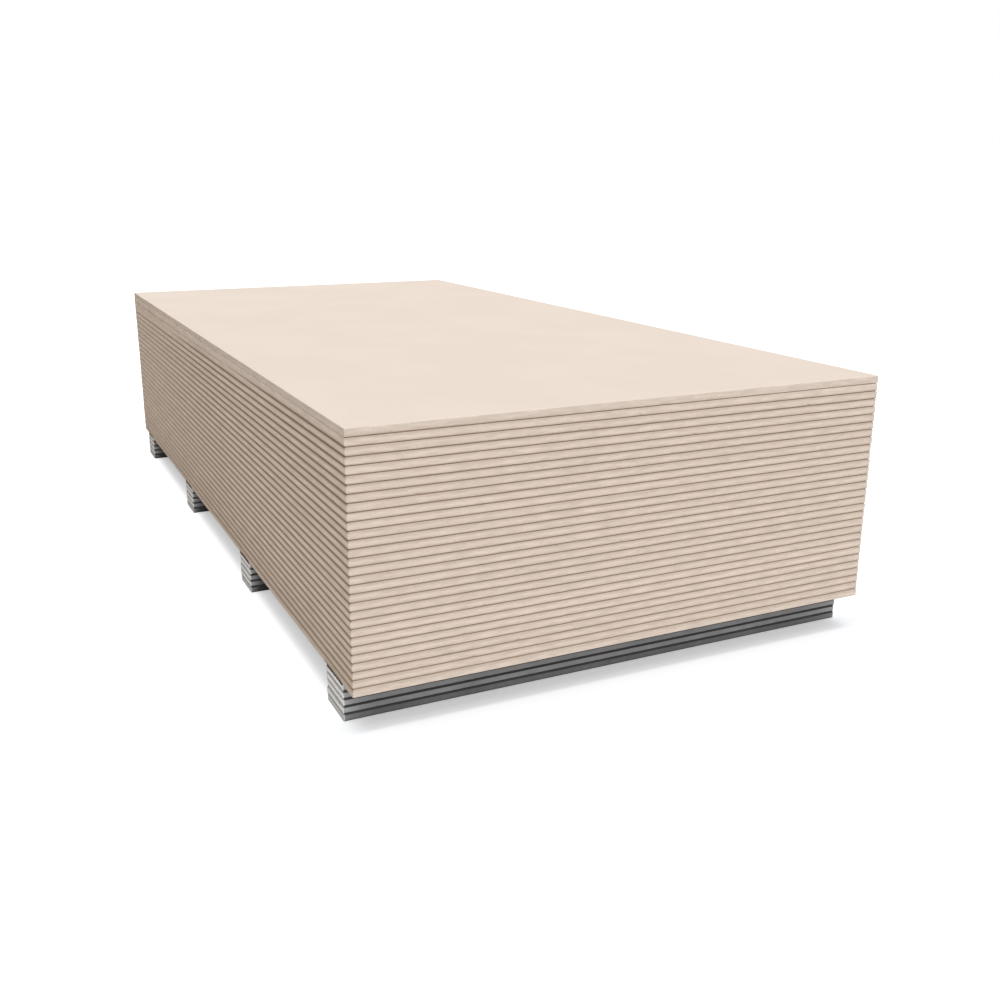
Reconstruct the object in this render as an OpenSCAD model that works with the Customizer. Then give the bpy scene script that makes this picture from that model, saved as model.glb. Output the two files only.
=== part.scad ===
// Stack of gypsum-fibre roof cover boards, laid flat on risers of stacked gypsum strips.
// The origin is at the centre of the footprint, on the floor. +Y runs along the boards and +Z is up.
// The risers lie across the stack and leave open ways for a lift truck's forks.

/* [Boards] */
// Width of a board
board_w = 1219.2; // [600:0.1:1300]
// Length of a board
board_l = 2438.4; // [1200:0.1:3100]
// Thickness of a board
board_t = 16.3; // [6:0.1:26]
// Number of boards in the stack
board_count = 30; // [1:1:40]
// Daylight between one board and the next
board_gap = 0.8; // [0:0.05:0.9]
// Width of the bevel that eases a board's edges, measured in from the edge
edge_run = 2; // [0.5:0.5:30]
// Depth of that bevel, measured from the face
edge_drop = 1.4; // [0.1:0.1:2]
// Bevel of a board's upright corners
board_corner = 0.8; // [0.1:0.1:4]

/* [Risers] */
// Number of risers under the stack
riser_count = 4; // [2:1:6]
// Distance from the end of the stack to the outer side of the nearest riser
riser_inset = 63.5; // [0:0.5:300]
// Number of strips in one riser
strip_count = 5; // [1:1:7]
// Width of a strip
strip_w = 101.6; // [50:0.1:200]
// Thickness of a strip
strip_t = 15.9; // [9:0.1:26]
// Distance that a strip's cut end stands in from the long side of the boards
strip_end_inset = 1; // [0:0.5:100]
// Daylight between strips, and between the top strip and the bottom board
strip_gap = 0.2; // [0:0.05:0.9]
// Radius of a strip's long edges, which the paper facing is folded round
strip_edge_r = 3.5; // [0.5:0.1:4.4]

/* [Hidden] */
$fn = 48;
strip_l = board_w - 2 * strip_end_inset;
strip_pitch = strip_t + strip_gap;
riser_h = strip_count * strip_pitch;
riser_pitch = (board_l - 2 * riser_inset - strip_w) / (riser_count - 1);
board_pitch = board_t + board_gap;
board_colour = "#e3d1c0";
strip_colour = "#c9c9c8";

// Names, counted from the floor up and from the -Y end
function two_digits(number) = str(number < 10 ? "0" : "", number);
function board_name(layer) = str("board_", two_digits(layer));
function strip_name(riser, layer) = str("riser_", riser, "_strip_", layer);

// Rectangle about the origin with its four corners cut off by bevels
module bevelled_rectangle(width, height, bevel_width, bevel_height) {
    x = width / 2;
    y = height / 2;
    polygon([
        [x - bevel_width, -y], [x, bevel_height - y], [x, y - bevel_height], [x - bevel_width, y],
        [bevel_width - x, y], [-x, y - bevel_height], [-x, bevel_height - y], [bevel_width - x, -y]
    ]);
}

// Rectangle about the origin with its four corners rounded
module rounded_rectangle(width, height, radius) {
    square([width - 2 * radius, height], center = true);
    square([width, height - 2 * radius], center = true);
    for (x = [-1, 1], y = [-1, 1])
        translate([x * (width / 2 - radius), y * (height / 2 - radius)]) circle(radius);
}

// One board, in its layer of the stack: its plan, its cross section and its long section meet
module board(layer) {
    color(board_colour)
    translate([0, 0, riser_h + (layer - 1) * board_pitch + board_t / 2])
    intersection() {
        linear_extrude(board_t, center = true)
            bevelled_rectangle(board_w, board_l, board_corner, board_corner);
        rotate([90, 0, 0]) linear_extrude(board_l, center = true)
            bevelled_rectangle(board_w, board_t, edge_run, edge_drop);
        rotate([90, 0, 90]) linear_extrude(board_w, center = true)
            bevelled_rectangle(board_l, board_t, edge_run, edge_drop);
    }
}

// One strip, in its layer of a riser
module strip(riser, layer) {
    first_y = riser_inset + strip_w / 2 - board_l / 2;
    color(strip_colour)
    translate([0, first_y + (riser - 1) * riser_pitch, (layer - 1) * strip_pitch + strip_t / 2])
    rotate([90, 0, 90]) linear_extrude(strip_l, center = true)
        rounded_rectangle(strip_w, strip_t, strip_edge_r);
}

for (layer = [1 : board_count])
    board(layer);

for (riser = [1 : riser_count], layer = [1 : strip_count])
    strip(riser, layer);
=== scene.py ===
import math
from functools import cache

import bpy
import numpy as np
from bpy.props import FloatProperty, FloatVectorProperty, IntProperty, PointerProperty
from mathutils import Euler, Matrix, Vector


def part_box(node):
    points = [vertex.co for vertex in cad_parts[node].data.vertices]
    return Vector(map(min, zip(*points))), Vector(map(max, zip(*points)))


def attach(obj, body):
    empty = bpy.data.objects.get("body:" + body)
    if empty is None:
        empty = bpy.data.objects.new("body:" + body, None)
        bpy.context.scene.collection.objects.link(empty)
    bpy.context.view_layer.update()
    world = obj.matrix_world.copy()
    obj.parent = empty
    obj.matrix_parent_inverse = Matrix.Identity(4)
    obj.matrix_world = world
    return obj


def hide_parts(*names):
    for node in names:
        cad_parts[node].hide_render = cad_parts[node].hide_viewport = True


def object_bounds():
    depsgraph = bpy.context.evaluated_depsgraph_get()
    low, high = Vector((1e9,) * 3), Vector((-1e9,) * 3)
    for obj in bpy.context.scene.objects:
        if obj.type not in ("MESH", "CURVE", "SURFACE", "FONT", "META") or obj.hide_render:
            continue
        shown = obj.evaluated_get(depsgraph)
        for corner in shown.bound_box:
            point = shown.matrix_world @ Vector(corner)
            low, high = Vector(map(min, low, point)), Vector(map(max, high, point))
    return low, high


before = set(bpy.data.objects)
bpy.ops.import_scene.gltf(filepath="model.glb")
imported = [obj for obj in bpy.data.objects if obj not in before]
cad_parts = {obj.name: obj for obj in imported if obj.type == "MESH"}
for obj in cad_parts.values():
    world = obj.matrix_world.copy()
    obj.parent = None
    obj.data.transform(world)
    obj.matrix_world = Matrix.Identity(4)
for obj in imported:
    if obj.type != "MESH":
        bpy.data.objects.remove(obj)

bl_info = {
    "name": "Roof Cover Board Stack",
    "version": (1, 0, 0),
    "blender": (4, 5, 0),
    "location": "View3D > Sidebar > Board Stack",
    "description": "Dresses a stack of gypsum-fibre roof cover boards and the gypsum strips under it",
    "category": "Add Mesh",
}

MM = 0.001
CAD_BOX = [list(corner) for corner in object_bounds()]
BOARD_NODES = sorted(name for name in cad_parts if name.startswith("board_"))
STRIP_NODES = sorted(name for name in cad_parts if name.startswith("riser_"))


# Sizes and colours that a user would change

class BoardSettings(bpy.types.PropertyGroup):
    """Edges and colours of the boards."""
    edge_run: FloatProperty(
        name="Edge run",
        description="Width of the bevel that eases a board's edges, measured in from the edge",
        default=2 * MM, min=1 * MM, max=30 * MM, unit="LENGTH")
    edge_drop: FloatProperty(
        name="Edge drop",
        description="Depth of the bevel that eases a board's edges, measured from the face",
        default=1.4 * MM, min=0, max=2 * MM, unit="LENGTH")
    outer_drop: FloatProperty(
        name="Outer drop",
        description="Depth of the bevel round the top of the stack and round its underside",
        default=0.3 * MM, min=0, max=2 * MM, unit="LENGTH")
    settle: FloatProperty(
        name="Settle", description="Height by which a face comes back up where its joint has closed",
        default=0.36 * MM, min=0, max=0.4 * MM, unit="LENGTH")
    arris: FloatProperty(
        name="Arris", description="Usual width of the wear where the bevel meets a board's edge",
        default=0.4 * MM, min=0.1 * MM, max=1 * MM, unit="LENGTH")
    corner: FloatProperty(
        name="Corner", description="Radius of a board's corners, seen from above",
        default=1.8 * MM, min=1.6 * MM, max=6 * MM, unit="LENGTH")
    chips: FloatProperty(
        name="Chips", description="Chips knocked out of each metre of arris",
        default=1.5, min=0, max=4)
    ripple: FloatProperty(
        name="Saw ripple", description="Depth of the ripple that the saw leaves on the edges",
        default=0.14 * MM, min=0, max=1 * MM, unit="LENGTH")
    stray: FloatProperty(
        name="Stray", description="Farthest that a board lies out of line with the stack",
        default=0.4 * MM, min=0, max=3 * MM, unit="LENGTH")
    face_light: FloatVectorProperty(
        name="Light face", description="Lighter tone of a board's face",
        default=(0.868, 0.757, 0.662), min=0, max=1, subtype="COLOR")
    face_dark: FloatVectorProperty(
        name="Dark face", description="Darker tone of a board's face",
        default=(0.836, 0.727, 0.634), min=0, max=1, subtype="COLOR")
    edge_light: FloatVectorProperty(
        name="Light edge", description="Lighter tone of a board's sawn edge",
        default=(0.898, 0.778, 0.676), min=0, max=1, subtype="COLOR")
    edge_dark: FloatVectorProperty(
        name="Dark edge", description="Darker tone of a board's sawn edge",
        default=(0.717, 0.619, 0.537), min=0, max=1, subtype="COLOR")
    fibre: FloatVectorProperty(
        name="Fibre", description="Colour of the paper fibres that show in a board",
        default=(0.62, 0.50, 0.40), min=0, max=1, subtype="COLOR")
    # Dust along the joints, with painted shade in them and on the long edges
    dust_and_shade: FloatVectorProperty(
        name="Dust", description="Colour of the dust that has gathered along the joints",
        default=(0.40, 0.295, 0.21), min=0, max=1, subtype="COLOR")
    # Dust and painted joint shade on the short edges, as a share of that on the long ones
    end_dust_and_shade: FloatProperty(
        name="End dust",
        description="Dust in the joints along the short edges, as a share of that along the long ones",
        default=0.56, min=0, max=1)
    # How much of the joints' dust and painted shade fades out towards +Y
    far_fade: FloatProperty(
        name="Far clean", description="Share of the dust that is missing at the +Y end of the joints",
        default=0.4, min=0, max=1)
    # Painted shade under the bottom board, where it lies on the risers
    bearing_shade: FloatProperty(
        name="Bearing dust",
        description="Dust along the lower edges of the bottom board, where it lies on the risers",
        default=3, min=0, max=4)
    # Painted shade: the bottom boards, and in the same way the top ones, take a darker tone, the outermost
    # most
    outer_shade: FloatProperty(
        name="Outer soil",
        description="How far the top and bottom boards go to the darker tone, and the next ones less so",
        default=1.6, min=0, max=4)
    smear: FloatProperty(
        name="Smear",
        description="Dust spread over the long edges of the boards whose joints have closed",
        default=0.11, min=0, max=1)
    # Painted shade over the long edges, most on the bottom board and less on each one above
    splash: FloatProperty(
        name="Splash",
        description="Dust spread over the long edges of the bottom board, and less over the next ones",
        default=0.29, min=0, max=1)
    seed: IntProperty(name="Seed", description="Start of the random wear of the boards", default=7)


class StripSettings(bpy.types.PropertyGroup):
    """Edges and colours of the riser strips."""
    fold: FloatProperty(
        name="Fold", description="Radius that the paper takes round a strip's long edges",
        default=3.5 * MM, min=1.5 * MM, max=6 * MM, unit="LENGTH")
    cut_arris: FloatProperty(
        name="Cut arris", description="Usual width of the crumbled bevel round a strip's cut ends",
        default=1.5 * MM, min=0.1 * MM, max=2 * MM, unit="LENGTH")
    top_wear: FloatProperty(
        name="Top wear",
        description="Extra width of the crumbled bevel at the upper rim of a riser's top strip",
        default=0.9, min=0, max=1)
    ripple: FloatProperty(
        name="Ripple", description="Depth of the unevenness of a strip's paper sides",
        default=0.4 * MM, min=0, max=1 * MM, unit="LENGTH")
    rough: FloatProperty(
        name="Rough", description="Depth of the hollows in the gypsum of a cut end",
        default=0.6 * MM, min=0, max=2 * MM, unit="LENGTH")
    stray: FloatProperty(
        name="Stray", description="Farthest that a strip lies out of line with its riser",
        default=0.7 * MM, min=0, max=5 * MM, unit="LENGTH")
    paper_light: FloatVectorProperty(
        name="Light paper", description="Lighter tone of the grey paper on a strip",
        default=(0.56, 0.582, 0.61), min=0, max=1, subtype="COLOR")
    paper_dark: FloatVectorProperty(
        name="Dark paper", description="Darker tone of the grey paper on a strip",
        default=(0.43, 0.447, 0.471), min=0, max=1, subtype="COLOR")
    # Painted shade: the strips on the floor go darker
    floor_shade: FloatProperty(
        name="Floor soil",
        description="How far the strips on the floor have gone to the tones of the folds and rims",
        default=0.5, min=0, max=1)
    # Painted shade in from the ends of the paper, on the outer sides
    side_paper_shade: FloatProperty(
        name="Side soil",
        description="How far the paper goes to the tone of the folds, in from the ends, on the outer sides",
        default=0.12, min=0, max=1)
    # Painted shade in from the ends of the paper, beside the fork ways
    way_shade: FloatProperty(
        name="Way soil",
        description="How far the paper goes to the tone of the folds, in from the ends, beside the fork ways",
        default=0.75, min=0, max=1)
    fold_shade: FloatVectorProperty(
        name="Fold shade", description="Tone of the paper where it is folded round a strip's long edges",
        default=(0.088, 0.088, 0.091), min=0, max=1, subtype="COLOR")
    rim_shade: FloatVectorProperty(
        name="Rim shade", description="Tone of the soiled line of paper round a strip's cut ends",
        default=(0.42, 0.415, 0.41), min=0, max=1, subtype="COLOR")
    gap_shade: FloatVectorProperty(
        name="Gap shade",
        description="Tone of the crumbled upper rim of a riser's top strip, close under the boards",
        default=(0.03, 0.027, 0.025), min=0, max=1, subtype="COLOR")
    core_light: FloatVectorProperty(
        name="Light core", description="Lighter tone of the gypsum in a cut end",
        default=(0.99, 0.985, 0.975), min=0, max=1, subtype="COLOR")
    core_dark: FloatVectorProperty(
        name="Dark core", description="Darker tone of the gypsum in a cut end",
        default=(0.94, 0.935, 0.925), min=0, max=1, subtype="COLOR")
    seed: IntProperty(name="Seed", description="Start of the random wear of the strips", default=23)


class StageSettings(bpy.types.PropertyGroup):
    """Camera, floor and light."""
    camera_place: FloatVectorProperty(
        name="Camera place", description="Where the camera stands",
        default=(-1.1725, -2.9652, 1.0148), subtype="TRANSLATION", unit="LENGTH")
    camera_down: FloatProperty(
        name="Camera down", description="Angle that the camera looks down by",
        default=math.radians(16.277), subtype="ANGLE")
    camera_turn: FloatProperty(
        name="Camera turn", description="Angle that the camera is turned from +Y towards +X",
        default=math.radians(24.944), subtype="ANGLE")
    camera_roll: FloatProperty(
        name="Camera roll", description="Angle that the camera leans to its left",
        default=math.radians(0.036), subtype="ANGLE")
    lens: FloatProperty(
        name="Lens", description="Focal length in millimetres on a 36 mm wide sensor",
        default=39.03, min=10, max=200)
    shift: FloatVectorProperty(
        name="Shift", description="Shift of the lens across and up, as a share of the picture's width",
        default=(0.02514, -0.0102), size=2)
    ambient: FloatProperty(
        name="Ambient",
        description="Strength of the even light from all round",
        default=0.40, min=0, max=1)
    key_strength: FloatProperty(
        name="Key strength", description="Strength of the soft light from above the short end",
        default=2.21, min=0, max=5)
    key_height: FloatProperty(
        name="Key height", description="Angle of the soft light above the floor",
        default=math.radians(58.5), subtype="ANGLE")
    key_turn: FloatProperty(
        name="Key turn", description="Angle that the soft light comes from, turned from -Y towards +X",
        default=math.radians(-10), subtype="ANGLE")
    key_spread: FloatProperty(
        name="Key spread", description="Angle that the soft light is wide",
        default=math.radians(60), subtype="ANGLE")
    near_glow: FloatProperty(
        name="Near glow",
        description="Light that the floor before the first riser shows the camera of itself",
        default=0.25, min=0, max=1)
    far_glow: FloatProperty(
        name="Far glow",
        description="Light that the floor behind the first riser shows the camera of itself",
        default=0.7, min=0, max=1)
    lip_shade: FloatProperty(
        name="Lip shade",
        description="How much of the floor's glow is missing under the front overhang of the boards",
        default=0.16, min=0, max=1)
    side_shade: FloatProperty(
        name="Side shade",
        description="How much of the floor's glow is missing under the boards behind the first riser",
        default=0.31, min=0, max=1)
    floor_tone: FloatVectorProperty(
        name="Floor tone", description="Share of the light that the floor throws back to the camera",
        default=(0.783, 0.8, 0.822), min=0, max=1, subtype="COLOR")
    near_bounce: FloatVectorProperty(
        name="Near bounce", description="Light that the floor before the stack throws back on it",
        default=(0.69, 0.663, 0.635), min=0, max=1, subtype="COLOR")
    far_bounce: FloatVectorProperty(
        name="Far bounce", description="Light that the floor behind the stack throws back on it",
        default=(0.37, 0.293, 0.212), min=0, max=1, subtype="COLOR")
    under_bounce: FloatVectorProperty(
        name="Under bounce",
        description="Light that the floor close to the long sides and between the risers throws back",
        default=(0.02, 0.018, 0.016), min=0, max=1, subtype="COLOR")


# Meshes

# Fewest knots in a random line
LEAST_KNOTS = 4
# Steps round a corner, and the distance between the points along a board and between the rings along a strip
CORNER_STEPS = 5
BOARD_SPACING = 18 * MM
STRIP_SPACING = 16 * MM
# Range of a chip's width and depth, how far its middle stays from a corner, and how unevenly it bites
CHIP_WIDTH = (5 * MM, 17 * MM)
CHIP_DEPTH = (0.5 * MM, 1.7 * MM)
CHIP_MARGIN = 4 * CHIP_WIDTH[1]
CHIP_BITE = (0.7, 1.15)
# Places of the points across a chip, and how far the regular points stay from its middle, in widths of it
CHIP_COLUMNS = np.array([-0.5, -0.36, -0.14, 0.1, 0.33, 0.5])
CHIP_CLEAR = 0.6
# Decimals by which two places along an arris are told apart
PLACE_DECIMALS = 5
# Waves of a board's arrises, bevels and sawn edges, each with its share of the whole and its length
ARRIS_WAVES = ((0.35, 90 * MM), (0.2, 24 * MM))
BEVEL_WAVES = ((0.15, 120 * MM),)
RIPPLE_WAVES = ((0.3, 45 * MM), (0.2, 16 * MM))
# Insets of the rings on a board's face and bevel, in runs of the bevel or, if more, in widths of the arris
FACE_RINGS = ((2, 2.5), (1, 1.5), (0.6, 1.2))
# Rings over the worn arris: the inset in widths of it, the share of the drop and the share of the dust and
# painted joint shade
ARRIS_RINGS = ((0.3, 0.72, 1), (0, 1, 0.85))
# Rings on the sawn edge: the level from its top, and the shares of the dust and painted shade of the joints
# above and below, which spread that painted shade down the edge
EDGE_RINGS = ((0.14, 0.33, 0), (0.38, 0.08, 0), (0.62, 0, 0.08), (0.86, 0, 0.33))
# Upper joints that have closed: where the first starts to, measured from the -Y end, how much farther back
# each next one does, and over what length
CLOSED_JOINTS = 3
CLOSING_START = -450 * MM
CLOSING_STEP = 850 * MM
CLOSING_RUN = 700 * MM
# How far the top joint closes along the -Y edge, and how much of an arris is pressed away in a closed joint
END_CLOSING = 0.5
PRESSED_ARRIS = 0.85
# Where the joints' dust and painted shade start to fade, from -1 at a board's -Y end to 1 at its +Y end
FADE_START = -0.2
# Columns and rows of a strip's cut end, points up its side, and how far the paper's rings stay from the ends
CORE_COLUMNS = 18
CORE_ROWS = 4
SIDE_POINTS = 4
PAPER_INSET = 5 * MM
# Rings over a strip's crumbled rim, by how far back and in they are in widths of it, and the range of those
CRUMB_RINGS = ((0, 1), (0.3, 0.3), (1, 0))
CRUMB_SPREAD = (0.5, 1.5)
# Length of the waves in a strip's paper sides
PAPER_WAVE = 70 * MM
# How much the attribute rim gains along a worn upper rim
WORN_RIM = 2
# Distance in from the ends over which the paper's painted shade grows, on an outer side and beside a fork way
SIDE_REACH = 80 * MM
WAY_REACH = 34 * MM


def smooth(share):
    """A soft step from 0 to 1."""
    share = np.clip(share, 0, 1)
    return share * share * (3 - 2 * share)


def wander(rng, along, length, step):
    """A smooth random line between -1 and 1 with a knot about every step, which closes on itself."""
    count = max(LEAST_KNOTS, round(length / step))
    knots = rng.uniform(-1, 1, count)
    place = along / length * count
    first = np.floor(place).astype(int)
    share = smooth(place - first)
    return knots[first % count] * (1 - share) + knots[(first + 1) % count] * share


def waver(rng, along, length, level, waves):
    """A random line about a level, with waves that are each given as a share and a length."""
    line = level
    for share, step in waves:
        line = line + share * wander(rng, along, length, step)
    return line


def side_and_corner(side, half, radius, shares):
    """Points of a rounded rectangle along one side and round the next corner, and the way that each faces.

    Sides are counted counter-clockwise from the lower one. shares are places along the side, from 0 to 1."""
    turn = math.pi / 2 * (side - 1)
    way = np.round([math.cos(turn), math.sin(turn)])
    run_way = np.array([-way[1], way[0]])
    inner = half - radius
    run_half = abs(run_way @ inner)
    along = (2 * np.asarray(shares) - 1) * run_half
    bend = turn + math.pi / 2 * np.arange(1, CORNER_STEPS) / CORNER_STEPS
    ways = np.concatenate([np.tile(way, (len(along), 1)), np.column_stack([np.cos(bend), np.sin(bend)])])
    along = np.concatenate([along, np.full(len(bend), run_half)])
    return abs(way @ inner) * way + np.outer(along, run_way) + radius * ways, ways


def ring_quads(count, rings, order):
    """Quads that join rings of count points, one ring to the next.

    In order, 0 and 3 stand for a point and the one after it, and 1 and 2 for the same in the next ring."""
    here = np.arange(count)
    after = np.roll(here, -1)
    quads = np.column_stack([here, count + here, count + after, after])[:, order]
    return np.concatenate([quads + ring * count for ring in range(rings - 1)]).tolist()


def draw_chips(rng, run, per_metre):
    """Chips along one straight arris, as rows of place, width and depth."""
    count = rng.poisson(per_metre * run)
    return np.column_stack([
        rng.uniform(CHIP_MARGIN, run - CHIP_MARGIN, count),
        rng.uniform(*CHIP_WIDTH, count),
        rng.uniform(*CHIP_DEPTH, count),
    ])


def chip_loss(places, chips, rng):
    """How much wider the arris is at each place, because of the chips."""
    loss = np.zeros(len(places))
    for place, width, depth in chips:
        from_middle = 2 * (places - place) / width
        bite = np.clip(1 - from_middle ** 2, 0, None) * rng.uniform(*CHIP_BITE, len(places))
        loss = np.maximum(loss, depth * bite)
    return loss


def board_columns(half, look, rng):
    """Columns of points round a board: their places, the way they face, and their upper and lower arris."""
    places, facing, upper, lower = [], [], [], []
    for side in range(4):
        run = 2 * (half[side % 2] - look.corner)
        chips = [draw_chips(rng, run, look.chips) for _ in (upper, lower)]
        every_chip = np.concatenate(chips)
        stations = np.linspace(0, run, round(run / BOARD_SPACING) + 1)
        clear = abs(stations[:, None] - every_chip[:, 0]) > CHIP_CLEAR * every_chip[:, 1]
        broken = every_chip[:, :1] + CHIP_COLUMNS * every_chip[:, 1:2]
        stations = np.concatenate([stations[clear.all(axis=1)], broken.ravel()])
        stations = np.unique(np.round(stations, PLACE_DECIMALS))
        spots, ways = side_and_corner(side, half, look.corner, stations / run)
        places.append(spots)
        facing.append(ways)
        for store, rows in zip((upper, lower), chips):
            loose = waver(rng, stations, run, 1, ARRIS_WAVES)
            arris = look.arris * loose + chip_loss(stations, rows, rng)
            store.append(np.concatenate([arris, np.full(len(spots) - len(arris), look.arris)]))
    return [np.concatenate(part) for part in (places, facing, upper, lower)]


def joint_closing(joint, places, facing, half):
    """How far a joint has closed at each column, from 0 to 1.

    Joint 0 is under the top board and -1 is no joint. The uppermost boards have settled onto each other along
    the -X side: the top one all along it, and the next ones from farther and farther back. The top joint also
    narrows along the -Y edge, towards +X."""
    if joint not in range(CLOSED_JOINTS):
        return np.zeros(len(places))
    back = places[:, 1] + half[1]
    across = (places[:, 0] + half[0]) / (2 * half[0])
    on_side = smooth((back - CLOSING_STEP * joint - CLOSING_START) / CLOSING_RUN)
    on_end = END_CLOSING * smooth(across) if joint == 0 else 0
    return np.clip(-facing[:, 0], 0, 1) * on_side + np.clip(-facing[:, 1], 0, 1) * on_end


def face_rings(places, facing, half, face, down, fall, arris, dust_and_shade, run):
    """Rings of points from a board's flat face, down the bevel that eases its edge and over the worn arris.

    down is -1 for the upper face and 1 for the lower. A ring is its points, their height and their dust and
    painted shade."""
    rings = []
    for runs, arrises in FACE_RINGS:
        inset = np.maximum(runs * run, arrises * arris)
        depth = np.clip(1 - inset / run, 0, 1) * fall
        rings.append((places * (1 - inset[:, None] / half), face + down * depth, dust_and_shade))
    bevel_foot = np.clip(1 - arris / run, 0, 1) * fall
    rings.append((places - facing * arris[:, None], face + down * bevel_foot, dust_and_shade))
    for arrises, share, shade_share in ARRIS_RINGS:
        depth = share * (fall + arris)
        rings.append((places - facing * (arrises * arris)[:, None], face + down * depth, shade_share * dust_and_shade))
    return rings


def board_mesh(name, low, high, joints, bearings, splash, look, rng):
    """A closed board with eased edges, soft, chipped arrises and rippled sawn sides.

    joints are the numbers of those above and below it, and bearings the middles and half widths of the strips
    that it lies on. Its first material is for the faces and its second for the edges. The attribute for dust
    and shade is 1 in the joints, as dust with painted shade in them, and more along the lower edges on the
    bearings, as painted shade under the board; a further amount of it, painted shade that is most on the
    bottom boards, lies all over the long edges."""
    centre = (low + high) / 2
    half = np.array((high - low).xy) / 2
    places, facing, *arrises = board_columns(half, look, rng)
    count = len(places)
    steps = np.linalg.norm(np.roll(places, -1, 0) - places, axis=1)
    along = np.cumsum(steps) - steps
    length = steps.sum()
    fade = look.far_fade * smooth((places[:, 1] / half[1] - FADE_START) / (1 - FADE_START))
    borne = np.any([abs(places[:, 1] - middle) < reach for middle, reach in bearings], axis=0)
    halves = []
    closed = np.zeros(count)
    for face, down, joint, arris in zip((high.z, low.z), (-1, 1), joints, arrises):
        closing = joint_closing(joint, places, facing, half)
        closed = np.maximum(closed, closing)
        pressed = borne & (facing[:, 1] == 0) & (down > 0)
        loose = waver(rng, along, length, 1, BEVEL_WAVES)
        drop = np.where(pressed | (joint >= 0), look.edge_drop, look.outer_drop)
        fall = drop * loose * (1 - closing) - look.settle * closing
        arris = arris * (1 - PRESSED_ARRIS * closing)
        # Dust in the joints with painted shade, less on the short edges, fading towards +Y, and none where a
        # joint has closed
        dust_and_shade = abs(facing) @ (1, look.end_dust_and_shade) * (1 - fade) * (1 - closing) * (joint >= 0)
        # Painted shade under the board where it lies on the risers
        dust_and_shade = np.where(pressed, look.bearing_shade, dust_and_shade)
        halves.append(face_rings(places, facing, half, face, down, fall, arris, dust_and_shade, look.edge_run))
    upper, lower = halves
    # Painted shade over the long edges, most low in the stack, and dust smeared where the joints have closed
    spread = abs(facing[:, 0]) * (splash + look.smear * closed)
    edge = []
    for level, share_above, share_below in EDGE_RINGS:
        dip = waver(rng, along, length, 0.5, RIPPLE_WAVES)
        height = upper[-1][1] * (1 - level) + lower[-1][1] * level
        dust_and_shade = share_above * upper[0][2] + share_below * lower[0][2] + spread
        edge.append((places - facing * (look.ripple * dip)[:, None], height, dust_and_shade))
    rings = upper + edge + lower[::-1]
    points = np.concatenate([np.column_stack([spots, height]) for spots, height, _ in rings])
    points[:, :2] += centre.xy
    around = np.arange(count)
    under = len(points) - count + around[::-1]
    faces = ring_quads(count, len(rings), [0, 1, 2, 3]) + [around.tolist(), under.tolist()]
    mesh = bpy.data.meshes.new(name)
    mesh.from_pydata(points.tolist(), [], faces)
    on_face = len(FACE_RINGS)
    zones = [0] * on_face + [1] * (len(rings) - 1 - 2 * on_face) + [0] * on_face
    mesh.polygons.foreach_set("material_index", np.repeat(zones, count).tolist() + [0, 0])
    add_value(mesh, "dust_and_shade", np.concatenate([dust_and_shade for _, _, dust_and_shade in rings]))
    mesh.shade_smooth()
    return mesh


def cut_end(first, rim, end, look, rng):
    """The rough gypsum face of a strip's cut end: its new points, and its faces out of the rim's and its own.

    first is the number that its first new point gets, rim the numbers and places of the section's points, and
    end is -1 or 1."""
    numbers, spots = rim
    top = len(numbers) // 2
    under = np.arange(CORE_COLUMNS + 1)
    over = top + under[::-1]
    rows, points = [numbers[under]], []
    for row in range(1, CORE_ROWS):
        level = spots[under] + (spots[over] - spots[under]) * row / CORE_ROWS
        level[:, 0] -= end * look.rough * rng.uniform(0, 1, len(level))
        rows.append(first + len(points) * len(under) + np.arange(len(under)))
        points.append(level)
    rows.append(numbers[over])
    rows = np.array(rows)
    quads = np.stack([rows[:-1, :-1], rows[:-1, 1:], rows[1:, 1:], rows[1:, :-1]], axis=-1).reshape(-1, 4)
    right = [*numbers[CORE_COLUMNS:top + 1], *rows[-2:0:-1, -1]]
    left = [*numbers[top + CORE_COLUMNS:], numbers[0], *rows[1:-1, 0]]
    faces = [list(map(int, face))[::end] for face in (*quads, right, left)]
    return np.concatenate(points), faces


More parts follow.
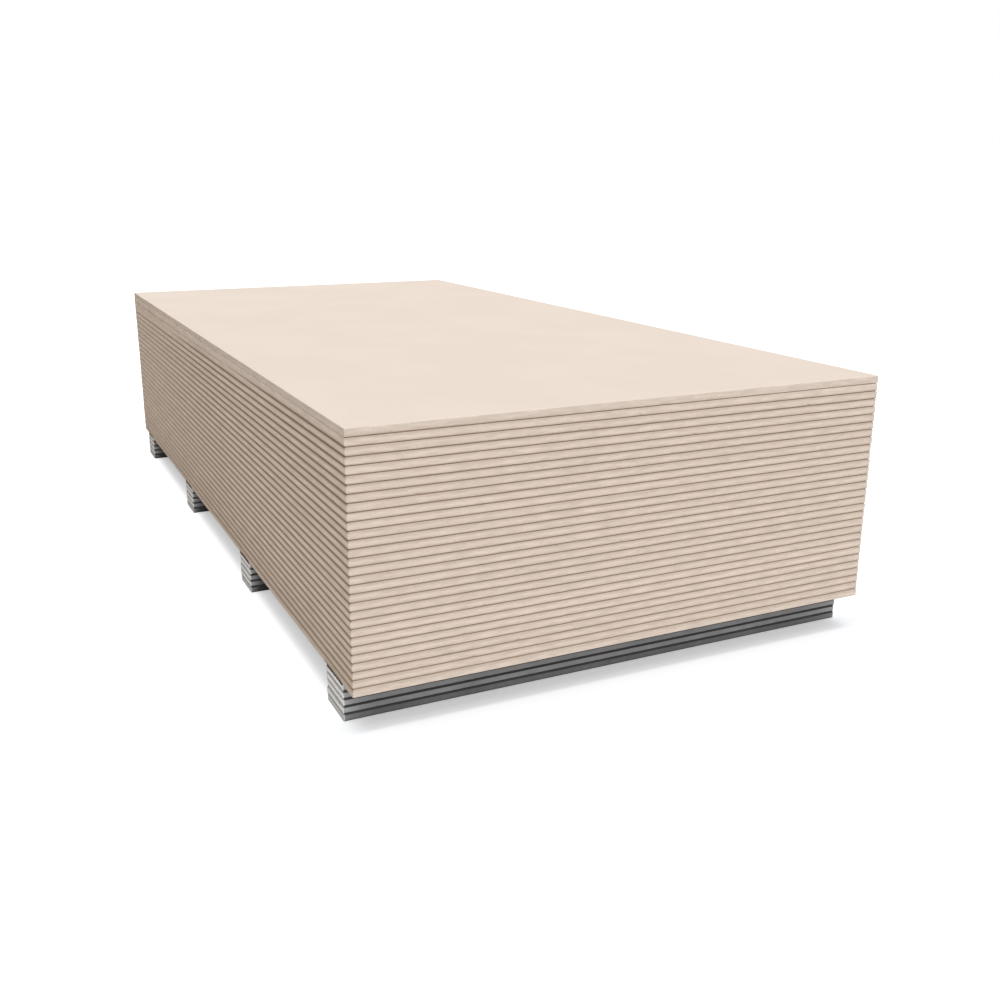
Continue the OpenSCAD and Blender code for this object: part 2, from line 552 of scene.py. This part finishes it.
def strip_mesh(name, low, high, top_wear, floor_shade, on_way, look, rng):
    """A closed riser strip along X: paper folded round its long edges, and rough bare gypsum at its cut ends.

    Its first material is for the paper and its second for the gypsum. The attribute rim is 1 along the upper
    and lower rims of the ends, and more along a worn upper rim. The attribute fold is 1 where the paper is
    folded, for painted shade between the strips, and the attribute of painted shade grows in from the ends
    and covers the strips on the floor. on_way says whether the -Y and the +Y side face a fork way."""
    centre = (low + high) / 2
    half = (high - low) / 2
    shares = [np.linspace(0, 1, number) for number in (CORE_COLUMNS + 1, SIDE_POINTS)]
    sides = [side_and_corner(side, np.array(half.yz), look.fold, shares[side % 2]) for side in range(4)]
    section, ways = (np.concatenate(part) for part in zip(*sides))
    count = len(section)
    worn = look.cut_arris * (1 + top_wear * np.clip(ways[:, 1], 0, 1))
    crumbs = {end: worn * rng.uniform(*CRUMB_SPREAD, count) for end in (-1, 1)}
    rings = [(-half.x + back * crumbs[-1], inset * crumbs[-1], 1) for back, inset in CRUMB_RINGS]
    body = np.linspace(PAPER_INSET - half.x, half.x - PAPER_INSET, round(2 * half.x / STRIP_SPACING))
    waves = {way: wander(rng, body + half.x, 2 * half.x, PAPER_WAVE) for way in (-1, 1)}
    for number, x in enumerate(body):
        wave = np.where(ways[:, 0] > 0, waves[1][number], waves[-1][number])
        rings.append((np.full(count, x), look.ripple * abs(ways[:, 0]) * (0.5 + 0.5 * wave), 0))
    rings += [(half.x - back * crumbs[1], inset * crumbs[1], 1) for back, inset in CRUMB_RINGS[::-1]]
    points = np.concatenate([np.column_stack([x, section - ways * inset[:, None]]) for x, inset, _ in rings])
    rim_share = abs(ways[:, 1]) + WORN_RIM * np.clip(ways[:, 1], 0, 1) * (top_wear > 0)
    rim = np.concatenate([on_rim * rim_share for _, _, on_rim in rings])
    fold = np.resize(np.abs(ways).max(axis=1) < 1, len(points))
    inward = half.x - abs(points[:, 0])
    beside_way = np.resize(np.where(ways[:, 0] < 0, *on_way), len(points))
    # Painted shade: the strips on the floor, and the paper in from the ends, more beside the fork ways
    way_shade = look.way_shade * smooth(inward / WAY_REACH)
    side_paper_shade = look.side_paper_shade * smooth(inward / SIDE_REACH)
    shade_share = np.clip(floor_shade + np.where(beside_way, way_shade, side_paper_shade), 0, 1)
    faces = ring_quads(count, len(rings), [0, 3, 2, 1])
    at_end = [1] * (len(CRUMB_RINGS) - 1)
    zones = at_end + [0] * (len(rings) - 1 - 2 * len(at_end)) + at_end
    zones = np.repeat(zones, count).tolist()
    around = np.arange(count)
    for end, numbers in ((-1, around), (1, len(points) - count + around)):
        more, gypsum = cut_end(len(points), (numbers, points[numbers]), end, look, rng)
        points = np.concatenate([points, more])
        faces += gypsum
        zones += [1] * len(gypsum)
    mesh = bpy.data.meshes.new(name)
    mesh.from_pydata((points + np.array(centre)).tolist(), [], faces)
    mesh.polygons.foreach_set("material_index", zones)
    add_value(mesh, "rim", rim)
    add_value(mesh, "fold", fold)
    add_value(mesh, "shade_share", shade_share, floor_shade)
    mesh.shade_smooth()
    return mesh


def add_value(mesh, name, values=(), rest=0.0):
    """Gives each point of a mesh a number for its materials: the first ones values, and the others rest."""
    numbers = np.full(len(mesh.vertices), rest, np.float32)
    numbers[:len(values)] = values
    mesh.attributes.new(name, "FLOAT", "POINT").data.foreach_set("value", numbers)


def add_piece(name, mesh, materials, node):
    """Puts a mesh in the scene in the place of a CAD node."""
    for material in materials:
        mesh.materials.append(material)
    piece = bpy.data.objects.new(name, mesh)
    bpy.context.scene.collection.objects.link(piece)
    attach(piece, "root")
    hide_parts(node)


# Materials

# How far a board's own tone, lowered by the painted shade of the outer boards, moves the clouds of its face
# and the streaks of its edges
FACE_TONE = 0.12
EDGE_TONE = 0.14
# How far fibres and pits show, on a board's face and edges and on a strip's paper and gypsum
FACE_FIBRE = 0.12
EDGE_PIT = 0.55
PAPER_FIBRE = 0.3
CORE_PIT = 0.1
# Ranges of the noise that clouds, grain and streaks spread over
CLOUD_RANGE = (0.28, 0.72)
GRAIN_RANGE = (0.2, 0.8)
STREAK_RANGE = (0.25, 0.75)
# Range of the noise over which a patch of fibres sets in, and half a fibre's width in its own noise
PATCH_RANGE = (0.52, 0.66)
FIBRE_LINE = 0.022
# Slope of a pit, out from the middle of its cell, and the random tones of the cells that have one
PIT_SLOPE = (0.12, 0.3)
PIT_CELLS = (0.6, 0.75)
# Values of the attribute rim between which the shade of the rims sets in, and that of the gap above them
RIM_STEP = (0.25, 0.65)
GAP_STEP = (1.05, 1.5)
# Strength of the relief, and the weak shine of the dry surfaces
RELIEF = 0.6
SHINE = 0.2
# Sockets of a colour Mix node: its factor and two colours, and its result
MIX_INPUTS = (0, 6, 7)
MIX_RESULT = 2


def add_node(tree, kind, inputs=None, **settings):
    """Adds a shader node. Each input is given a value, or a socket to be joined to."""
    node = tree.nodes.new(kind)
    for key, value in settings.items():
        setattr(node, key, value)
    for key, value in (inputs or {}).items():
        if isinstance(value, bpy.types.NodeSocket):
            tree.links.new(value, node.inputs[key])
        else:
            node.inputs[key].default_value = value
    return node


def add_math(tree, operation, first, second=0.0, third=0.0):
    """Adds a Math node and gives its result."""
    return add_node(tree, "ShaderNodeMath", {0: first, 1: second, 2: third}, operation=operation).outputs[0]


def add_ramp(tree, value, start, end, low=0.0, high=1.0):
    """Adds a smooth step of a value from low at start to high at end."""
    inputs = {"Value": value, "From Min": start, "From Max": end, "To Min": low, "To Max": high}
    return add_node(tree, "ShaderNodeMapRange", inputs, interpolation_type="SMOOTHSTEP").outputs["Result"]


def add_fall(tree, value, start, end):
    """Adds a smooth step of a value from 1 at start to 0 at end."""
    return add_ramp(tree, value, start, end, low=1.0, high=0.0)


def add_mix(tree, factor, first, second):
    """Adds a mix of two colours, each one a socket or red, green and blue, and gives its result."""
    colours = [value if isinstance(value, bpy.types.NodeSocket) else (*value, 1) for value in (first, second)]
    inputs = dict(zip(MIX_INPUTS, (factor, *colours)))
    return add_node(tree, "ShaderNodeMix", inputs, data_type="RGBA").outputs[MIX_RESULT]


def add_noise(tree, **inputs):
    """Adds a noise texture with the inputs named, and gives its value."""
    inputs = {key.title(): value for key, value in inputs.items()}
    return add_node(tree, "ShaderNodeTexNoise", inputs).outputs["Fac"]


def new_group(name, sizes, outputs):
    """Starts a shader node group with a Vector input, size inputs with defaults, and number outputs.

    Gives its tree, its Vector, the scale for each size, and its outputs."""
    tree = bpy.data.node_groups.new(name, "ShaderNodeTree")
    tree.interface.new_socket("Vector", in_out="INPUT", socket_type="NodeSocketVector")
    for key, value in sizes.items():
        socket = tree.interface.new_socket(key, in_out="INPUT", socket_type="NodeSocketFloat")
        socket.default_value = value
    for key in outputs:
        tree.interface.new_socket(key, in_out="OUTPUT", socket_type="NodeSocketFloat")
    given = tree.nodes.new("NodeGroupInput").outputs
    scale = {key: add_math(tree, "DIVIDE", 1.0, given[key]) for key in sizes}
    return tree, given["Vector"], scale, tree.nodes.new("NodeGroupOutput").inputs


def fibre_speckle():
    """Clouds of tone, scattered fibres and a fine grain, as on a pressed or paper-faced surface."""
    sizes = {"Cloud Size": 300 * MM, "Fibre Size": 6 * MM, "Grain Size": 1.2 * MM}
    tree, where, scale, wanted = new_group("Fibre Speckle", sizes, ("Cloud", "Fibre", "Grain"))
    cloud = add_noise(tree, vector=where, scale=scale["Cloud Size"], detail=4.0, roughness=0.55)
    tree.links.new(add_ramp(tree, cloud, *CLOUD_RANGE), wanted["Cloud"])
    bend = add_noise(tree, vector=where, scale=scale["Fibre Size"], detail=2.0, distortion=1.6)
    ridge = add_math(tree, "ABSOLUTE", add_math(tree, "SUBTRACT", bend, 0.5))
    thread = add_fall(tree, ridge, 0.0, FIBRE_LINE)
    patch = add_noise(tree, vector=where, scale=scale["Fibre Size"], detail=1.0, roughness=0.4)
    fibre = add_math(tree, "MULTIPLY", thread, add_ramp(tree, patch, *PATCH_RANGE))
    tree.links.new(fibre, wanted["Fibre"])
    grain = add_noise(tree, vector=where, scale=scale["Grain Size"], detail=2.0, roughness=0.6)
    tree.links.new(grain, wanted["Grain"])
    return tree


def cut_streaks():
    """Level streaks and small pits, as a saw leaves them across a pressed board."""
    sizes = {"Streak Length": 90 * MM, "Streak Height": 5 * MM, "Pit Size": 4 * MM}
    tree, where, scale, wanted = new_group("Cut Streaks", sizes, ("Streak", "Pit", "Relief"))
    stretch = add_node(tree, "ShaderNodeCombineXYZ", {
        "X": scale["Streak Length"], "Y": scale["Streak Length"], "Z": scale["Streak Height"]})
    level = add_node(tree, "ShaderNodeVectorMath", {
        0: where, 1: stretch.outputs["Vector"]}, operation="MULTIPLY")
    streak = add_noise(tree, vector=level.outputs["Vector"], scale=1.0, detail=5.0, roughness=0.62)
    tree.links.new(add_ramp(tree, streak, *STREAK_RANGE), wanted["Streak"])
    cells = add_node(tree, "ShaderNodeTexVoronoi", {"Vector": where, "Scale": scale["Pit Size"]}).outputs
    hollow = add_fall(tree, cells["Distance"], *PIT_SLOPE)
    some = add_node(tree, "ShaderNodeSeparateColor", {"Color": cells["Color"]}).outputs["Red"]
    pit = add_math(tree, "MULTIPLY", hollow, add_ramp(tree, some, *PIT_CELLS))
    tree.links.new(pit, wanted["Pit"])
    tree.links.new(add_math(tree, "SUBTRACT", streak, pit), wanted["Relief"])
    return tree


@cache
def shared(build):
    """A node group, built the first time that a material asks for it."""
    return build()


def use_group(tree, build, **sizes):
    """Places a shared node group in a material, on the piece's own coordinates, and gives its outputs."""
    node = add_node(tree, "ShaderNodeGroup", node_tree=shared(build))
    where = add_node(tree, "ShaderNodeTexCoord").outputs["Object"]
    tree.links.new(where, node.inputs["Vector"])
    for key, value in sizes.items():
        node.inputs[key.replace("_", " ").title()].default_value = value
    return node.outputs


def attribute(tree, name):
    """A value that the mesh carries."""
    return add_node(tree, "ShaderNodeAttribute", attribute_name=name).outputs["Fac"]


def new_material(name):
    """A material with an empty node tree, and that tree."""
    material = bpy.data.materials.new(name)
    material.use_nodes = True
    material.node_tree.nodes.clear()
    return material, material.node_tree


def finish_material(material, colour, roughness, height, bump):
    """Joins a material's colour, roughness and relief to its shader."""
    tree = material.node_tree
    relief = add_node(tree, "ShaderNodeBump", {"Height": height, "Strength": RELIEF, "Distance": bump})
    shader = add_node(tree, "ShaderNodeBsdfPrincipled", {
        "Base Color": colour, "Roughness": roughness, "Normal": relief.outputs["Normal"],
        "Specular IOR Level": SHINE})
    add_node(tree, "ShaderNodeOutputMaterial", {"Surface": shader.outputs["BSDF"]})
    return material


def board_face(look):
    """The smooth pressed face of a board: cream, softly clouded, with a few paper fibres."""
    material, tree = new_material("board_face")
    coat = use_group(tree, fibre_speckle, cloud_size=260 * MM, fibre_size=9 * MM, grain_size=1.4 * MM)
    tone = add_math(tree, "MULTIPLY_ADD", attribute(tree, "tone"), FACE_TONE, coat["Cloud"])
    colour = add_mix(tree, tone, look.face_dark, look.face_light)
    colour = add_mix(tree, add_math(tree, "MULTIPLY", coat["Fibre"], FACE_FIBRE), colour, look.fibre)
    # Dust and painted shade along the joints, and painted shade low on the long edges
    colour = add_mix(tree, attribute(tree, "dust_and_shade"), colour, look.dust_and_shade)
    roughness = add_ramp(tree, coat["Grain"], *GRAIN_RANGE, low=0.82, high=0.95)
    return finish_material(material, colour, roughness, coat["Grain"], bump=0.12 * MM)


def board_edge(look):
    """The sawn edge of a board: short level streaks, small pits and a tone that differs between boards."""
    material, tree = new_material("board_edge")
    coat = use_group(tree, cut_streaks, streak_length=45 * MM, streak_height=6 * MM, pit_size=5 * MM)
    tone = add_math(tree, "MULTIPLY_ADD", attribute(tree, "tone"), EDGE_TONE, coat["Streak"])
    colour = add_mix(tree, tone, look.edge_dark, look.edge_light)
    colour = add_mix(tree, add_math(tree, "MULTIPLY", coat["Pit"], EDGE_PIT), colour, look.fibre)
    # Dust and painted shade along the joints, and painted shade low on the long edges
    colour = add_mix(tree, attribute(tree, "dust_and_shade"), colour, look.dust_and_shade)
    roughness = add_ramp(tree, coat["Streak"], 0.0, 1.0, low=0.97, high=0.86)
    return finish_material(material, colour, roughness, coat["Relief"], bump=0.2 * MM)


def strip_paper(look):
    """The grey paper round a riser strip, clouded and flecked, with painted shade in its folds, in from its
    ends and on the strips on the floor.
    """
    material, tree = new_material("strip_paper")
    coat = use_group(tree, fibre_speckle, cloud_size=70 * MM, fibre_size=5 * MM, grain_size=0.9 * MM)
    colour = add_mix(tree, coat["Cloud"], look.paper_dark, look.paper_light)
    colour = add_mix(tree, add_math(tree, "MULTIPLY", coat["Fibre"], PAPER_FIBRE), colour, look.core_dark)
    # Painted shade in the folds, in from the ends and on the strips on the floor
    shade_share = add_math(tree, "MAXIMUM", attribute(tree, "fold"), attribute(tree, "shade_share"))
    colour = add_mix(tree, shade_share, colour, look.fold_shade)
    roughness = add_ramp(tree, coat["Grain"], *GRAIN_RANGE, low=0.75, high=0.9)
    return finish_material(material, colour, roughness, coat["Grain"], bump=0.1 * MM)


def strip_core(look):
    """The white gypsum in a strip's cut ends, with the grey line of the paper round it."""
    material, tree = new_material("strip_core")
    coat = use_group(tree, cut_streaks, streak_length=14 * MM, streak_height=4 * MM, pit_size=3 * MM)
    colour = add_mix(tree, coat["Streak"], look.core_dark, look.core_light)
    colour = add_mix(tree, add_math(tree, "MULTIPLY", coat["Pit"], CORE_PIT), colour, look.paper_light)
    # Painted shade on the cut ends of the strips on the floor
    colour = add_mix(tree, attribute(tree, "shade_share"), colour, look.rim_shade)
    rim = attribute(tree, "rim")
    colour = add_mix(tree, add_ramp(tree, rim, *RIM_STEP), colour, look.rim_shade)
    colour = add_mix(tree, add_ramp(tree, rim, *GAP_STEP), colour, look.gap_shade)
    roughness = add_ramp(tree, coat["Streak"], 0.0, 1.0, low=0.97, high=0.88)
    return finish_material(material, colour, roughness, coat["Relief"], bump=0.3 * MM)


# Floor

# Half the width of the floor, and how far it lies below the strips
FLOOR_REACH = 60.0
FLOOR_DROP = 0.1 * MM
# How far behind the -Y end of the stack the floor's glow starts to rise
GLOW_START = 10 * MM
# Where the shade under the front overhang sets in behind that end, and where it ends about the long sides
LIP_DEPTH = 18 * MM
LIP_EDGE = (-45 * MM, 15 * MM)
# Where the shade under the boards ends about the long sides and the +Y end
SHADE_EDGE = (-32 * MM, 8 * MM)
# Where the light thrown back ends under a long side, starts again beside it, and starts about the -Y end
UNDER_DEPTH = 20 * MM
BESIDE_REACH = 200 * MM
FRONT_EDGE = (-80 * MM, 80 * MM)
# Slant of the rays, from straight down, over which the floor beside the stack stops being dark to them
SLANT_STEP = (0.04, 0.36)


def about(edge, span):
    """The two ends of a span about an edge."""
    return edge + span[0], edge + span[1]


def floor_glow(tree, aside, along, stage):
    """Light that the floor shows of itself: more of it behind the first riser, and less under the boards.

    aside is the distance from the stack's middle line, through the origin, and along the place along it."""
    (_, near, _), (side, far, _) = CAD_BOX
    riser_low, riser_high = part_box(STRIP_NODES[0])
    under_lip = add_math(tree, "MULTIPLY", add_ramp(tree, along, near, near + LIP_DEPTH),
                         add_fall(tree, aside, *about(side, LIP_EDGE)))
    before = add_math(tree, "MULTIPLY_ADD", under_lip, -stage.lip_shade, stage.near_glow)
    inside = add_math(tree, "MULTIPLY", add_fall(tree, aside, *about(side, SHADE_EDGE)),
                      add_fall(tree, along, *about(far, SHADE_EDGE)))
    inside = add_math(tree, "MULTIPLY", inside, add_ramp(tree, along, riser_low.y, riser_high.y))
    after = add_math(tree, "MULTIPLY_ADD", inside, -stage.side_shade, stage.far_glow)
    behind = add_ramp(tree, along, near + GLOW_START, riser_high.y)
    return add_math(tree, "MULTIPLY_ADD", behind, add_math(tree, "SUBTRACT", after, before), before)


def floor_bounce(tree, aside, along, stage):
    """Colour of the light that the floor throws back: dark between the risers and close to the long sides."""
    (_, near, _), (side, far, _) = CAD_BOX
    open_floor = add_mix(tree, add_ramp(tree, along, near, far), stage.near_bounce, stage.far_bounce)
    under = add_fall(tree, aside, side - UNDER_DEPTH, side)
    slant = add_node(tree, "ShaderNodeLayerWeight", {"Blend": 0.5}).outputs["Facing"]
    beside = add_math(tree, "MULTIPLY", add_fall(tree, aside, side, side + BESIDE_REACH),
                      add_fall(tree, slant, *SLANT_STEP))
    deep = add_math(tree, "MULTIPLY", add_math(tree, "MAXIMUM", under, beside),
                    add_ramp(tree, along, *about(near, FRONT_EDGE)))
    return add_mix(tree, deep, open_floor, stage.under_bounce)


def floor_sheet(stage):
    """White floor: the camera sees it white but for the stack's shadow, and it throws soft light back."""
    material, tree = new_material("floor_sheet")
    where = add_node(tree, "ShaderNodeTexCoord").outputs["Object"]
    place = add_node(tree, "ShaderNodeSeparateXYZ", {"Vector": where}).outputs
    aside, along = add_math(tree, "ABSOLUTE", place["X"]), place["Y"]
    glow = add_node(tree, "ShaderNodeEmission", {"Strength": floor_glow(tree, aside, along, stage)})
    tone = add_node(tree, "ShaderNodeBsdfDiffuse", {"Color": (*stage.floor_tone, 1)})
    shown = add_node(tree, "ShaderNodeAddShader", {0: tone.outputs["BSDF"], 1: glow.outputs["Emission"]})
    bounced = add_node(tree, "ShaderNodeBsdfDiffuse", {"Color": floor_bounce(tree, aside, along, stage)})
    surface = add_node(tree, "ShaderNodeMixShader", {
        0: seen_directly(tree), 1: bounced.outputs["BSDF"], 2: shown.outputs["Shader"]})
    add_node(tree, "ShaderNodeOutputMaterial", {"Surface": surface.outputs["Shader"]})
    return material


def seen_directly(tree):
    """1 for rays from the camera, and for those that come by a mirror or through glass."""
    path = add_node(tree, "ShaderNodeLightPath").outputs
    mirrored = add_math(tree, "MAXIMUM", path["Is Glossy Ray"], path["Is Transmission Ray"])
    return add_math(tree, "MAXIMUM", path["Is Camera Ray"], mirrored)


# Operators

# Lengths within this count as the same
SAME = 1 * MM
# Boards over which the painted shade on the long edges of the bottom ones falls to about a third
FOOT_SHADE_FADE = 4
# Width of the camera's sensor in millimetres
SENSOR_WIDTH = 36.0


class BOARDSTACK_OT_boards(bpy.types.Operator):
    """Build every board of the stack with worn arrises and sawn edges"""
    bl_idname = "boardstack.boards"
    bl_label = "Boards"

    def execute(self, context):
        look = context.scene.boardstack_boards
        materials = [board_face(look), board_edge(look)]
        strips = [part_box(node) for node in STRIP_NODES]
        for number, node in enumerate(BOARD_NODES, 1):
            rng = np.random.default_rng([look.seed, number])
            low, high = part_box(node)
            stray = Vector((*rng.uniform(-look.stray, look.stray, 2), 0))
            joint_above = len(BOARD_NODES) - number - 1
            joints = (joint_above, joint_above + 1 if number > 1 else -1)
            bearings = [((a.y + b.y) / 2, (b.y - a.y) / 2) for a, b in strips if 0 < low.z - b.z < SAME]
            # Painted shade over the long edges, fading up from the bottom board
            splash = look.splash * math.exp((1 - number) / FOOT_SHADE_FADE)
            name = f"sheet_{number:02d}"
            mesh = board_mesh(name, low + stray, high + stray, joints, bearings, splash, look, rng)
            # A random tone, lowered by the painted shade of the outer boards
            layer = min(number, len(BOARD_NODES) + 1 - number)
            add_value(mesh, "tone", rest=rng.uniform(-1, 1) - look.outer_shade / layer ** 2)
            add_piece(name, mesh, materials, node)
        return {"FINISHED"}


class BOARDSTACK_OT_strips(bpy.types.Operator):
    """Build every riser strip with folded paper along its sides and bare gypsum at its ends"""
    bl_idname = "boardstack.strips"
    bl_label = "Riser Strips"

    def execute(self, context):
        look = context.scene.boardstack_strips
        materials = [strip_paper(look), strip_core(look)]
        lows, highs = zip(*(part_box(node) for node in STRIP_NODES))
        front = min(low.y for low in lows)
        back = max(high.y for high in highs)
        top = max(high.z for high in highs)
        for number, (node, low, high) in enumerate(zip(STRIP_NODES, lows, highs), 1):
            rng = np.random.default_rng([look.seed, number])
            stray = Vector((*rng.uniform(-look.stray, look.stray, 2), 0))
            top_wear = look.top_wear if high.z > top - SAME else 0
            # Painted shade for the strips on the floor
            floor_shade = look.floor_shade if low.z < SAME else 0
            on_way = (low.y > front + SAME, high.y < back - SAME)
            name = node.replace("riser", "bearer")
            mesh = strip_mesh(name, low + stray, high + stray, top_wear, floor_shade, on_way, look, rng)
            add_piece(name, mesh, materials, node)
        return {"FINISHED"}


class BOARDSTACK_OT_stage(bpy.types.Operator):
    """Set up the floor, the light and the camera"""
    bl_idname = "boardstack.stage"
    bl_label = "Stage"

    def execute(self, context):
        scene = context.scene
        stage = scene.boardstack_stage
        self.lay_floor(scene, stage)
        self.add_key(scene, stage)
        self.light_world(scene, stage)
        self.place_camera(scene, stage)
        scene.view_settings.view_transform = "Standard"
        return {"FINISHED"}

    @staticmethod
    def lay_floor(scene, stage):
        """A wide white sheet, just below the strips so that no faces coincide."""
        sheet = bpy.data.meshes.new("floor")
        corners = [(FLOOR_REACH * x, FLOOR_REACH * y, 0) for x, y in ((-1, -1), (1, -1), (1, 1), (-1, 1))]
        sheet.from_pydata(corners, [], [(0, 1, 2, 3)])
        sheet.materials.append(floor_sheet(stage))
        floor = bpy.data.objects.new("floor", sheet)
        floor.location.z = -FLOOR_DROP
        scene.collection.objects.link(floor)

    @staticmethod
    def add_key(scene, stage):
        """Broad soft light from above the short end, as from a large softbox far away."""
        lamp = bpy.data.lights.new("key", "SUN")
        lamp.energy = stage.key_strength
        lamp.angle = stage.key_spread
        key = bpy.data.objects.new("key", lamp)
        key.rotation_euler = Euler((math.pi / 2 - stage.key_height, 0, stage.key_turn))
        scene.collection.objects.link(key)

    @staticmethod
    def light_world(scene, stage):
        """Even light from all round, which the camera sees as white."""
        world = bpy.data.worlds.new("studio")
        world.use_nodes = True
        tree = world.node_tree
        tree.nodes.clear()
        strength = add_ramp(tree, seen_directly(tree), 0.0, 1.0, stage.ambient, 1.0)
        sky = add_node(tree, "ShaderNodeBackground", {"Color": (1, 1, 1, 1), "Strength": strength})
        add_node(tree, "ShaderNodeOutputWorld", {"Surface": sky.outputs["Background"]})
        scene.world = world

    @staticmethod
    def place_camera(scene, stage):
        """The photograph's viewpoint, for a square picture."""
        data = bpy.data.cameras.new("camera")
        data.sensor_width = SENSOR_WIDTH
        data.lens = stage.lens
        data.shift_x, data.shift_y = stage.shift
        camera = bpy.data.objects.new("camera", data)
        camera.location = stage.camera_place
        level = Euler((math.pi / 2 - stage.camera_down, 0, -stage.camera_turn)).to_matrix()
        camera.rotation_euler = (level @ Matrix.Rotation(stage.camera_roll, 3, "Z")).to_euler()
        scene.collection.objects.link(camera)
        scene.camera = camera


class BOARDSTACK_PT_panel(bpy.types.Panel):
    """The stack's parts and their settings"""
    bl_idname = "BOARDSTACK_PT_panel"
    bl_label = "Board Stack"
    bl_space_type = "VIEW_3D"
    bl_region_type = "UI"
    bl_category = "Board Stack"

    def draw(self, context):
        for operator, settings in PARTS:
            column = self.layout.box().column()
            column.operator(operator.bl_idname)
            group = getattr(context.scene, settings)
            for key in group.bl_rna.properties.keys():
                if key not in ("rna_type", "name"):
                    column.prop(group, key)


PARTS = (
    (BOARDSTACK_OT_stage, "boardstack_stage"),
    (BOARDSTACK_OT_boards, "boardstack_boards"),
    (BOARDSTACK_OT_strips, "boardstack_strips"),
)
SETTINGS = {
    "boardstack_boards": BoardSettings,
    "boardstack_strips": StripSettings,
    "boardstack_stage": StageSettings,
}
CLASSES = (*SETTINGS.values(), *(operator for operator, _ in PARTS), BOARDSTACK_PT_panel)


def register():
    for cls in CLASSES:
        bpy.utils.register_class(cls)
    for name, cls in SETTINGS.items():
        setattr(bpy.types.Scene, name, PointerProperty(type=cls))


def unregister():
    for name in SETTINGS:
        delattr(bpy.types.Scene, name)
    for cls in reversed(CLASSES):
        bpy.utils.unregister_class(cls)


def main():
    register()
    bpy.ops.boardstack.stage()
    bpy.ops.boardstack.boards()
    bpy.ops.boardstack.strips()


if __name__ == "__main__":
    main()
